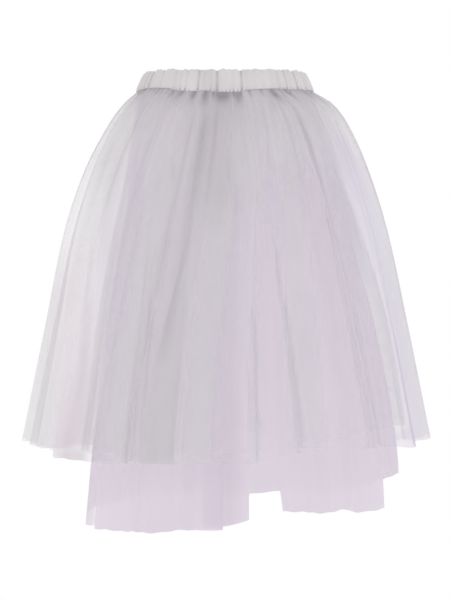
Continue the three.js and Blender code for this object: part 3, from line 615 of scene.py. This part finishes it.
def turned_hem(angle, drop):
    """The extra plies where the hem is turned up."""
    plies = np.zeros_like(angle)
    for at, half, start, dense in zip(*TURNED_HEM.values()):
        below = smooth(start, start + TURNED_ONSET, drop)
        plies = plies + dense * below * bell((angle - at) / half)
    return plies


def seam_plies(angle, drop):
    """The extra plies of the allowance inside each side seam."""
    width = np.degrees(SEAM_ALLOWANCE / 2 / (BAND_HALF_DEPTH + SEAM_FLARE * drop))
    away = np.min([np.abs(angle - at) for at in SIDE_SEAMS], axis=0)
    return SEAM_PLIES * (1 - smooth(width - SEAM_EDGE, width + SEAM_EDGE, away))


# ---- Meshes ----
def quads_of(rows, cols, ring):
    """The corners of each square of a grid, whose last row joins the first if it is a ring."""
    index = np.arange(rows * cols).reshape(rows, cols)
    if ring:
        index = np.concatenate([index, index[:1]])
    corners = [index[:-1, :-1], index[1:, :-1], index[1:, 1:], index[:-1, 1:]]
    return np.stack(corners, -1).reshape(-1, 4)


def grid_mesh(name, points, uv, ring=False, **attributes):
    """A mesh from a grid of points in millimetres, with a float attribute for each named grid."""
    quads = quads_of(*points.shape[:2], ring)
    mesh = bpy.data.meshes.new(name)
    mesh.vertices.add(points.shape[0] * points.shape[1])
    mesh.vertices.foreach_set("co", (points.reshape(-1, 3) * MM).astype(np.float32).ravel())
    mesh.loops.add(quads.size)
    mesh.loops.foreach_set("vertex_index", quads.astype(np.int32).ravel())
    mesh.polygons.add(len(quads))
    mesh.polygons.foreach_set("loop_start", np.arange(0, quads.size, 4, dtype=np.int32))
    mesh.polygons.foreach_set("loop_total", np.full(len(quads), 4, np.int32))
    mesh.update(calc_edges=True)
    mesh.polygons.foreach_set("use_smooth", np.ones(len(quads), bool))
    corners = uv.reshape(-1, 2)[quads_of(*uv.shape[:2], False).ravel()] * MM
    mesh.uv_layers.new(name="UVMap").data.foreach_set("uv", corners.astype(np.float32).ravel())
    for key, values in attributes.items():
        made = mesh.attributes.new(key, "FLOAT", "POINT")
        made.data.foreach_set("value", values.astype(np.float32).ravel())
    made = bpy.data.objects.new(name, mesh)
    bpy.context.collection.objects.link(made)
    return made


def steps_along(points):
    """The running length along the first axis of a grid of points."""
    steps = np.linalg.norm(np.diff(points, axis=0), axis=2)
    return np.concatenate([np.zeros((1, points.shape[1])), np.cumsum(steps, axis=0)])


# ---- Net panels ----
FOLD_GROWTH = 0.58  # the power by which the folds deepen from the waist to the hem
RIDGE_LIMIT = 1.5  # how far a ridge may stand out beyond the outline
PLY_DEPTH = 4  # how deep a pucker is that holds one more ply
GATHER_CROWD = 0.32  # how much of that a fine gather holds
BUNCHED_PLIES = 0.8

# Painted shade in the net's colour, where the folds and the band keep the light out: how dark it
# is, and the distances below the band between which it fades.
PUCKER_SHADE = (0.18, 2, 34)  # for each millimetre of a pucker
FOOT_SHADE = (0.1, 0, 9)
BAND_SHADE = (0.13, 10, 90)
NOOK_SHADE = (0.75, 4, 13)  # in the small nooks between the finest gathers
NOOK_WAVE = (67, 3, 8)  # how many nooks there are, and how far and how often they wander
NOOK_LEVEL = 0.35
DENSE_SHADE = 0.18
CREASE_SHADE = 0.13

# The vent's edge swings away at these angles, most at the first and not at all from the second on.
VENT_SWING = (7.5, 45)

FINE_PLACES = 6001  # along the cloth, to measure it by
TURN_LENGTH = 6  # millimetres of cloth that one radian of turning counts for
ROWS_POWER = 1.25  # sets the rows closer together near the waist
# A raw edge that has been cut by hand is never quite straight: how far it strays, how often in a
# degree, and its share of the layer's phase.
HAND_CUT = ((0.9, 0.31, 1), (0.5, 0.83, 2))
MOST_GATHERED = 4  # the most plies that the gathering at the waist counts for
GATHERED_POWER = 0.7
LEAST_FACING = 0.45  # the net seen edge on counts as turned no further than this
FACING_POWER = 0.5


def shade_under(amount, start, end, drop):
    return amount * under_band(start, end, drop)


class Layer:
    """A panel of net: its tables, the angles it spans, and how many columns and rows draw it."""

    def __init__(self, name, tables, span, grid, phase, inner=None, outer=False, vent=False):
        self.name, self.span, self.phase = name, span, phase
        self.outline, self.hem, self.folds, self.bunches = tables
        self.across, self.down = grid
        self.inner, self.outer, self.vent = inner, outer, vent

    def place(self, cloth, drop):
        """The angle that the cloth hangs at. The vent's edge swings away from its neighbour."""
        angle = folded_angle(self.folds, cloth, drop)
        if self.vent:
            swing = (1 - smooth(*VENT_SWING, angle)) * smooth(VENT_TOP, VENT_FOOT, drop)
            angle = angle + VENT_OPEN * swing
        return angle

    def points(self, cloth, drop):
        """Where the cloth hangs, the way that is outwards there, its extra plies, and its looks:
        painted shade and painted lilac light.
        """
        angle = self.place(cloth, drop)
        x, y, out_x, out_y = outline_at(self.outline, angle, drop)
        grown = np.clip((drop - WAIST_DROP) / (HEM_DROP - WAIST_DROP), 0, 1) ** FOLD_GROWTH
        pucker, gather = pucker_depth(angle, drop, self.phase)
        creases = soft_creases(angle, drop) if self.outer else np.zeros_like(angle)
        wanted = fold_levels(self.folds, cloth[:, 0])[:, None] * grown + pucker + gather + creases
        if self.inner is not None:
            inner_x, inner_y, _, _ = outline_at(self.inner, angle, drop)
            gap = (x - inner_x) * out_x + (y - inner_y) * out_y
            wanted = np.minimum(wanted, np.maximum(gap - LAYER_CLEARANCE, 0))
        depth = np.maximum(wanted, -RIDGE_LIMIT)
        z = foot_shift(angle) * (1 - smooth(WAIST_DROP, SAG_END, drop)) - drop
        hung = np.stack([x - out_x * depth, y - out_y * depth, z], -1)

        dense = patches(self.bunches, "dense", angle, drop)
        crowd = (pucker + GATHER_CROWD * gather) / PLY_DEPTH
        crowd = crowd + BUNCHED_PLIES * bunched(self.folds, angle, drop)
        crowd = crowd + seam_plies(angle, drop) + dense

        nook = np.maximum(wave(np.radians(angle), *NOOK_WAVE) - NOOK_LEVEL, 0)
        shade = shade_under(*PUCKER_SHADE, drop) * pucker + shade_under(*FOOT_SHADE, drop)
        shade = shade + shade_under(*BAND_SHADE, drop) + shade_under(*NOOK_SHADE, drop) * nook
        shade = shade + DENSE_SHADE * np.maximum(dense, 0) + CREASE_SHADE * np.maximum(creases, 0)
        rose = violet = np.zeros_like(angle)
        if self.outer:
            crowd = crowd + turned_hem(angle, drop)
            # Painted light from the lilac below, on the outer layer alone.
            rose = patches(PAINTED_LILAC_LIGHT, "rose", angle, drop)
            violet = patches(PAINTED_LILAC_LIGHT, "violet", angle, drop)
        looks = {"shade": shade, "rose": rose, "violet": violet}
        looks = {key: np.clip(values, 0, 1) for key, values in looks.items()}
        return hung, out_x, out_y, crowd, looks

    def cloth_places(self):
        """Places along the cloth at even lengths of its hem, closer where it turns."""
        fine = np.linspace(*self.span, FINE_PLACES)[:, None]
        row = self.points(fine, np.full_like(fine, HEM_DROP))[0][:, 0, :2]
        step = np.diff(row, axis=0)
        length = np.hypot(step[:, 0], step[:, 1])
        heading = np.unwrap(np.arctan2(step[:, 1], step[:, 0]))
        turned = np.abs(np.diff(heading, prepend=heading[0]))
        run = np.concatenate([[0], np.cumsum(length + TURN_LENGTH * turned)])
        return np.interp(np.linspace(0, run[-1], self.across + 1), run, fine[:, 0])

    def build(self, material):
        cloth = self.cloth_places()
        hem = read_curve(self.hem, "at", "drop", cloth)
        for stray, often, own in HAND_CUT:
            hem = hem + stray * np.sin(cloth * often + own * self.phase)
        down = np.linspace(0, 1, self.down + 1) ** ROWS_POWER
        top = WAIST_DROP - SEWN_IN
        drop = top + (hem[:, None] - top) * down[None]
        cloth = np.repeat(cloth[:, None], self.down + 1, 1)
        points, out_x, out_y, crowd, looks = self.points(cloth, drop)
        along = steps_along(points)
        width = along[-1]
        # The net is as much denser than at the hem as its width is gathered in.
        gathered = np.clip(width.max() / width, 1, MOST_GATHERED) ** GATHERED_POWER
        tangent = np.gradient(points, axis=0)
        across = np.abs(tangent[..., 0] * -out_y + tangent[..., 1] * out_x)
        facing = across / np.maximum(np.linalg.norm(tangent, axis=2), 1e-6)
        plies = gathered[None] / np.clip(facing, LEAST_FACING, 1) ** FACING_POWER * (1 + crowd)
        # The UV map is the flat cloth, in metres.
        uv = np.stack([along[:, -1:] * np.ones_like(drop), drop - top], -1)
        made = grid_mesh(self.name + "_net", points, uv, plies=plies, **looks)
        made.data.materials.append(material)
        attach(made, "root")
        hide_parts(self.name)


# ---- Materials ----
# Each cloth drifts between two colours.
GREY_COLOURS = ((0.62, 0.597, 0.624, 1), (0.66, 0.637, 0.66, 1))
LILAC_COLOURS = ((0.69, 0.625, 0.71, 1), (0.72, 0.655, 0.74, 1))
CASING_COLOURS = ((0.47, 0.45, 0.46, 1), (0.66, 0.63, 0.65, 1))
CASING_CREASE_SHADE = (0.36, 0.335, 0.355, 1)
# The tints of the painted light from the lilac below.
PAINTED_LILAC_LIGHT_COLOURS = {"rose": (0.65, 0.555, 0.63, 1), "violet": (0.61, 0.555, 0.70, 1)}
GREY_COVER, LILAC_COVER = 0.30, 0.91  # the share of one flat ply that the threads hide
NET_REPEAT = 0.0009  # metres from one thread to the next
CASING_REPEAT = 0.0011
WEAVE, STREAKS = 0.15, 0.3  # how uneven the threads and the streaks make the cover
ONWARDS = 0.8  # the share of the light hidden by the threads that they scatter onwards
DEEPEST = 0.75  # how far the shade turns the net to its deep colour
DEEP_SHARES = (0.42, 0.4, 0.42)  # what is left of its colour there
THROUGH = 0.4  # the share of a ply's light that comes from behind it


class Nodes:
    """Adds nodes to a material and links them in one call each."""

    def __init__(self, name):
        self.material = bpy.data.materials.new(name)
        self.material.use_nodes = True
        self.tree = self.material.node_tree
        self.tree.nodes.clear()

    def add(self, kind, inputs=(), **settings):
        made = self.tree.nodes.new(kind)
        for key, value in settings.items():
            setattr(made, key, value)
        for key, value in dict(inputs).items():
            if isinstance(value, bpy.types.NodeSocket):
                self.tree.links.new(value, made.inputs[key])
            else:
                made.inputs[key].default_value = value
        return made

    def math(self, operation, a, b=0.5):
        return self.add("ShaderNodeMath", {0: a, 1: b}, operation=operation).outputs[0]

    def mix(self, factor, one, other):
        """A colour between two."""
        inputs = {"Factor": factor, 6: one, 7: other}
        return self.add("ShaderNodeMix", inputs, data_type="RGBA").outputs[2]

    def attribute(self, name):
        return self.add("ShaderNodeAttribute", attribute_name=name).outputs["Fac"]

    def noise(self, scale, detail=2.0, stretch=(1, 1, 1)):
        where = self.add("ShaderNodeTexCoord").outputs["Object"]
        mapped = self.add("ShaderNodeMapping", {"Vector": where, "Scale": stretch}).outputs[0]
        inputs = {"Vector": mapped, "Scale": scale, "Detail": detail}
        return self.add("ShaderNodeTexNoise", inputs).outputs["Fac"]

    def threads(self, repeat, angles):
        """The height of fine hexagonal net, drawn as three sets of threads."""
        uv = self.add("ShaderNodeTexCoord").outputs["UV"]
        waves = []
        for angle in angles:
            inputs = {"Vector": uv, "Rotation": (0, 0, math.radians(angle))}
            turned = self.add("ShaderNodeMapping", inputs).outputs[0]
            across = self.add("ShaderNodeSeparateXYZ", {0: turned}).outputs[0]
            waves.append(self.math("COSINE", self.math("MULTIPLY", across, 2 * math.pi / repeat)))
        return self.math("ADD", self.math("ADD", waves[0], waves[1]), waves[2])

    def bump(self, height, strength, distance):
        inputs = {"Height": height, "Strength": strength, "Distance": distance}
        return self.add("ShaderNodeBump", inputs).outputs[0]

    def cloth(self, colour, normal, roughness, sheen, sheen_roughness):
        inputs = {
            "Base Color": colour, "Normal": normal, "Roughness": roughness,
            "Sheen Weight": sheen, "Sheen Roughness": sheen_roughness,
        }
        return self.add("ShaderNodeBsdfPrincipled", inputs).outputs[0]

    def finish(self, shader):
        self.add("ShaderNodeOutputMaterial", {"Surface": shader})
        return self.material


def net_material(name, colours, cover):
    """Sheer net: its colours, and the share of one flat ply that its threads hide."""
    n = Nodes(name)
    threads = n.threads(NET_REPEAT, angles=(0, 60, 120))
    streak = n.math("SUBTRACT", n.noise(9, 3, stretch=(3, 3, 0.25)), 0.5)
    uneven = n.math("ADD", n.math("MULTIPLY", threads, WEAVE), n.math("MULTIPLY", streak, STREAKS))
    plies = n.math("MULTIPLY", n.attribute("plies"), n.math("ADD", uneven, 1.0))
    # The threads scatter most light onwards, so the layers behind lose less of it than they hide.
    path = n.add("ShaderNodeLightPath").outputs
    onwards = n.math("MAXIMUM", path["Is Shadow Ray"], path["Is Diffuse Ray"])
    blocked = n.math("SUBTRACT", 1.0, n.math("MULTIPLY", onwards, ONWARDS))
    clear = n.math("POWER", 1 - cover, n.math("MULTIPLY", plies, blocked))
    covered = n.math("SUBTRACT", 1.0, clear)
    tint = n.mix(n.noise(5), *colours)
    # Painted light: the lilac's rosy and violet light tints the net where its attributes say.
    for lilac_light, tinge in PAINTED_LILAC_LIGHT_COLOURS.items():
        tint = n.mix(n.attribute(lilac_light), tint, tinge)
    # Painted shade: the shade attribute turns the colour towards this darker copy of it.
    deep = [channel * share for channel, share in zip(colours[0], DEEP_SHARES)]
    tint = n.mix(n.math("MULTIPLY", n.attribute("shade"), DEEPEST), tint, (*deep, 1))
    normal = n.bump(threads, strength=0.25, distance=0.0002)
    front = n.cloth(tint, normal, roughness=0.62, sheen=0.15, sheen_roughness=0.4)
    through = n.add("ShaderNodeBsdfTranslucent", {"Color": tint, "Normal": normal}).outputs[0]
    both = n.add("ShaderNodeMixShader", {0: THROUGH, 1: front, 2: through}).outputs[0]
    holes = n.add("ShaderNodeBsdfTransparent").outputs[0]
    return n.finish(n.add("ShaderNodeMixShader", {0: covered, 1: holes, 2: both}).outputs[0])


def band_material():
    """The casing: several plies of the net, closely gathered over elastic."""
    n = Nodes("band cloth")
    base = n.mix(n.noise(22, 3, stretch=(1, 1, 0.6)), *CASING_COLOURS)
    # Painted shade: the crease attribute darkens the casing in its creases and in the shadow dashes
    # along its foot.
    tint = n.mix(n.attribute("crease"), base, CASING_CREASE_SHADE)
    threads = n.math("MULTIPLY", n.threads(CASING_REPEAT, angles=(30, 90, 150)), 0.12)
    height = n.math("ADD", threads, n.noise(260, 2, stretch=(1, 1, 0.12)))
    normal = n.bump(height, strength=0.5, distance=0.0006)
    return n.finish(n.cloth(tint, normal, roughness=0.7, sheen=0.2, sheen_roughness=0.5))


# ---- Casing ----
BAND_COLUMNS = 1080  # round the casing
SWELL, SWELL_POWER = 1.5, 0.7  # how far it swells between the creases
SWELL_CREASE = 2  # the crease in which nothing of the swell is left
# Waves round the casing: how high and how many, and how far and how often they wander.
RIPPLES = ((0.18, 97, 2, 5), (0.12, 151, 3, 3))
CRESTS = ((0.5, 37, 3, 4), (0.35, 79, 2, 7))  # those along its top edge
# Painted shadow dashes along the casing's foot: how many there are, how far and how often they
# wander, and how much is added to their wave.
SHADOW_DASH_WAVE, SHADOW_DASH_LEVEL = (131, 3, 6), 0.2
SHADOW_DASH_SHADE, CASING_SHADE = 1.3, 2.6  # how dark a painted shadow dash is, and the crease whose painted shade is darkest
SHADOW_DASH_HEIGHT, SHADOW_DASH_FADE = 0.75, 0.15  # the painted shadow dashes are lower than this share of half the height
SHADOW_DASH_INSIDE = -2  # and no further in than this
FOOT_LIFT, FOOT_POWER = 0.8, 0.7


def waves_of(waves, turn):
    return sum(high * wave(turn, count, wander, turns) for high, count, wander, turns in waves)


def casing_creases(angle):
    """How deep the casing's creases are, and how far its top edge dips in them."""
    crease, dip = np.zeros_like(angle), np.zeros_like(angle)
    for at, deep, half, low in rows_of(BAND_CREASES, "at deep half dip"):
        away = away_from(at, angle)
        crease = np.maximum(crease, CREASE_SCALE * deep * np.exp(-((away / half) ** CREASE_POWER)))
        dip = np.maximum(dip, DIP_SCALE * low * bell(away / (half * DIP_WIDTH)))
    return crease, dip


def foot_shadow_dashes(angle):
    """How strong the painted shadow dashes along the casing's foot are."""
    shadow_dash = np.zeros_like(angle)
    for at, half in rows_of(FOOT_SHADOW_DASHES, "at half"):
        shadow_dash = np.maximum(shadow_dash, bell(away_from(at, angle) / half))
    return shadow_dash * np.clip(SHADOW_DASH_LEVEL + wave(np.radians(angle), *SHADOW_DASH_WAVE), 0, 1)


def waistband(material):
    """The gathered casing: a strip folded over the elastic and open along its foot."""
    angle = np.linspace(-90, 270, BAND_COLUMNS + 1)[:-1]
    turn = np.radians(angle)
    crease, dip = casing_creases(angle)
    swell = SWELL * (1 - np.clip(crease / SWELL_CREASE, 0, 1)) ** SWELL_POWER
    ripple, crest = waves_of(RIPPLES, turn), waves_of(CRESTS, turn)
    lift = FOOT_LIFT * read_curve(FOOT_STEPS, "at", "lift", angle)
    sine, cosine = np.sin(turn), np.cos(turn)
    out_x, out_y = sine / BAND_HALF_WIDTH, -cosine / BAND_HALF_DEPTH
    length = np.hypot(out_x, out_y)
    out_x, out_y = out_x / length, out_y / length
    rows = []
    for out, height, swells, creases, dips in zip(*BAND_PROFILE.values()):
        shift = (1 - height) / 2 * foot_shift(angle)
        shift = shift - (1 + height) / 2 * BAND_TOP_SAG * front_share(angle)
        rise = height * BAND_HEIGHT / 2 - dips * (dip + crest) + shift
        rise = rise + max(-height, 0) ** FOOT_POWER * lift
        away = out + swells * (swell + ripple) - creases * crease - BAND_TAPER * height
        x, y = BAND_HALF_WIDTH * sine + out_x * away, -BAND_HALF_DEPTH * cosine + out_y * away
        rows.append(np.stack([x, y, rise], -1))
    points = np.stack(rows, 1)
    around = np.append(turn, turn[0] + 2 * math.pi) * (BAND_HALF_WIDTH + BAND_HALF_DEPTH) / 2
    run = np.concatenate([[0], np.cumsum(np.linalg.norm(np.diff(points[0], axis=0), axis=1))])
    uv = np.stack(np.broadcast_arrays(around[:, None], run[None]), -1)
    # Painted shade, kept in the crease attribute: darker in the casing's creases, with painted
    # shadow dashes along its foot.
    low = np.clip((-SHADOW_DASH_HEIGHT - BAND_PROFILE["height"]) / SHADOW_DASH_FADE, 0, 1)
    low = SHADOW_DASH_SHADE * low * (BAND_PROFILE["out"] > SHADOW_DASH_INSIDE)
    shade = np.clip(crease / CASING_SHADE, 0, 1)[:, None] * BAND_PROFILE["crease"][None]
    shade = np.clip(shade + foot_shadow_dashes(angle)[:, None] * low[None], 0, 1)
    made = grid_mesh("waistband_casing", points, uv, ring=True, crease=shade)
    made.data.materials.append(material)
    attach(made, "root")
    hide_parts("waistband")


# ---- Floor, lights and camera, in metres ----
FLOOR_RADIUS, FLOOR_SIDES, FLOOR_HEIGHT = 1.35, 96, -1.02
FLOOR_COLOUR = (0.9, 0.9, 0.9, 1)
# Name, place, size and power of each light.
LIGHTS = (("key", (1.7, -2.4, 1.2), 1.6, 16), ("fill", (-2.2, -1.8, 0.5), 2.0, 9))
LIGHTS_AIM = (0, 0, -0.3)
CAMERA_PLACE = (0, -2.6, -0.324)
CAMERA_LENS, CAMERA_SENSOR = 104, 36  # millimetres
SEE_THROUGH = 64  # how many sheer plies a line of sight may pass
BOUNCES = 10


def stage():
    """A white floor well below the hem, and the lights and camera of a level view."""
    bpy.ops.mesh.primitive_circle_add(
        vertices=FLOOR_SIDES, radius=FLOOR_RADIUS, fill_type="NGON", location=(0, 0, FLOOR_HEIGHT)
    )
    floor = bpy.context.object
    floor.name = "floor"
    n = Nodes("floor")
    floor.data.materials.append(
        n.finish(n.add("ShaderNodeBsdfDiffuse", {"Color": FLOOR_COLOUR}).outputs[0])
    )

    scene = bpy.context.scene
    scene.world = bpy.data.worlds.new("studio")
    scene.world.use_nodes = True
    background = scene.world.node_tree.nodes["Background"].inputs
    background["Color"].default_value = (1, 1, 1, 1)
    background["Strength"].default_value = 1.0

    for name, place, size, power in LIGHTS:
        light = bpy.data.lights.new(name, "AREA")
        light.size, light.energy = size, power
        lamp = bpy.data.objects.new(name, light)
        lamp.location = place
        aim = Vector(LIGHTS_AIM) - Vector(place)
        lamp.rotation_euler = aim.to_track_quat("-Z", "Y").to_euler()
        bpy.context.collection.objects.link(lamp)

    camera = bpy.data.cameras.new("camera")
    camera.lens, camera.sensor_width = CAMERA_LENS, CAMERA_SENSOR
    eye = bpy.data.objects.new("camera", camera)
    eye.location = CAMERA_PLACE
    eye.rotation_euler = (math.radians(90), 0, 0)
    bpy.context.collection.objects.link(eye)
    scene.camera = eye
    scene.view_settings.view_transform = "Standard"
    scene.cycles.transparent_max_bounces = SEE_THROUGH
    scene.cycles.max_bounces = BOUNCES


# ---- The skirt ----
layers = (
    Layer(
        "outer_front", (OUTER_OUTLINE, OUTER_HEM, OUTER_FRONT_FOLDS, BUNCHES),
        span=(-90, 90), grid=(560, 84), phase=0.4, inner=MIDDLE_OUTLINE, outer=True,
    ),
    Layer(
        "outer_back", (OUTER_OUTLINE, OUTER_HEM, OUTER_BACK_FOLDS, BUNCHES),
        span=(90, 270), grid=(440, 72), phase=1.1, inner=MIDDLE_OUTLINE, outer=True,
    ),
    Layer(
        "middle_front", (MIDDLE_OUTLINE, MIDDLE_HEM, MIDDLE_FRONT_FOLDS, MIDDLE_BUNCHES),
        span=(-90, 90), grid=(320, 60), phase=2.3, inner=UNDER_OUTLINE,
    ),
    Layer(
        "middle_back", (MIDDLE_OUTLINE, MIDDLE_HEM, MIDDLE_BACK_FOLDS, MIDDLE_BUNCHES),
        span=(90, 270), grid=(300, 60), phase=3.1, inner=UNDER_OUTLINE,
    ),
    Layer(
        "under_left", (UNDER_OUTLINE, UNDER_LEFT_HEM, UNDER_LEFT_FOLDS, UNDER_BUNCHES),
        span=(-90, 7.5), grid=(200, 70), phase=4.0,
    ),
    Layer(
        "under_right", (UNDER_OUTLINE, UNDER_RIGHT_HEM, UNDER_RIGHT_FOLDS, UNDER_BUNCHES),
        span=(7.5, 64), grid=(120, 70), phase=5.2, vent=True,
    ),
    Layer(
        "under_back", (UNDER_OUTLINE, UNDER_BACK_HEM, UNDER_BACK_FOLDS, UNDER_BUNCHES),
        span=(64, 270), grid=(320, 70), phase=0.9,
    ),
)
grey = net_material("grey net", GREY_COLOURS, GREY_COVER)
lilac = net_material("lilac net", LILAC_COLOURS, LILAC_COVER)
for layer in layers:
    layer.build(lilac if layer.name.startswith("under") else grey)
waistband(band_material())
stage()
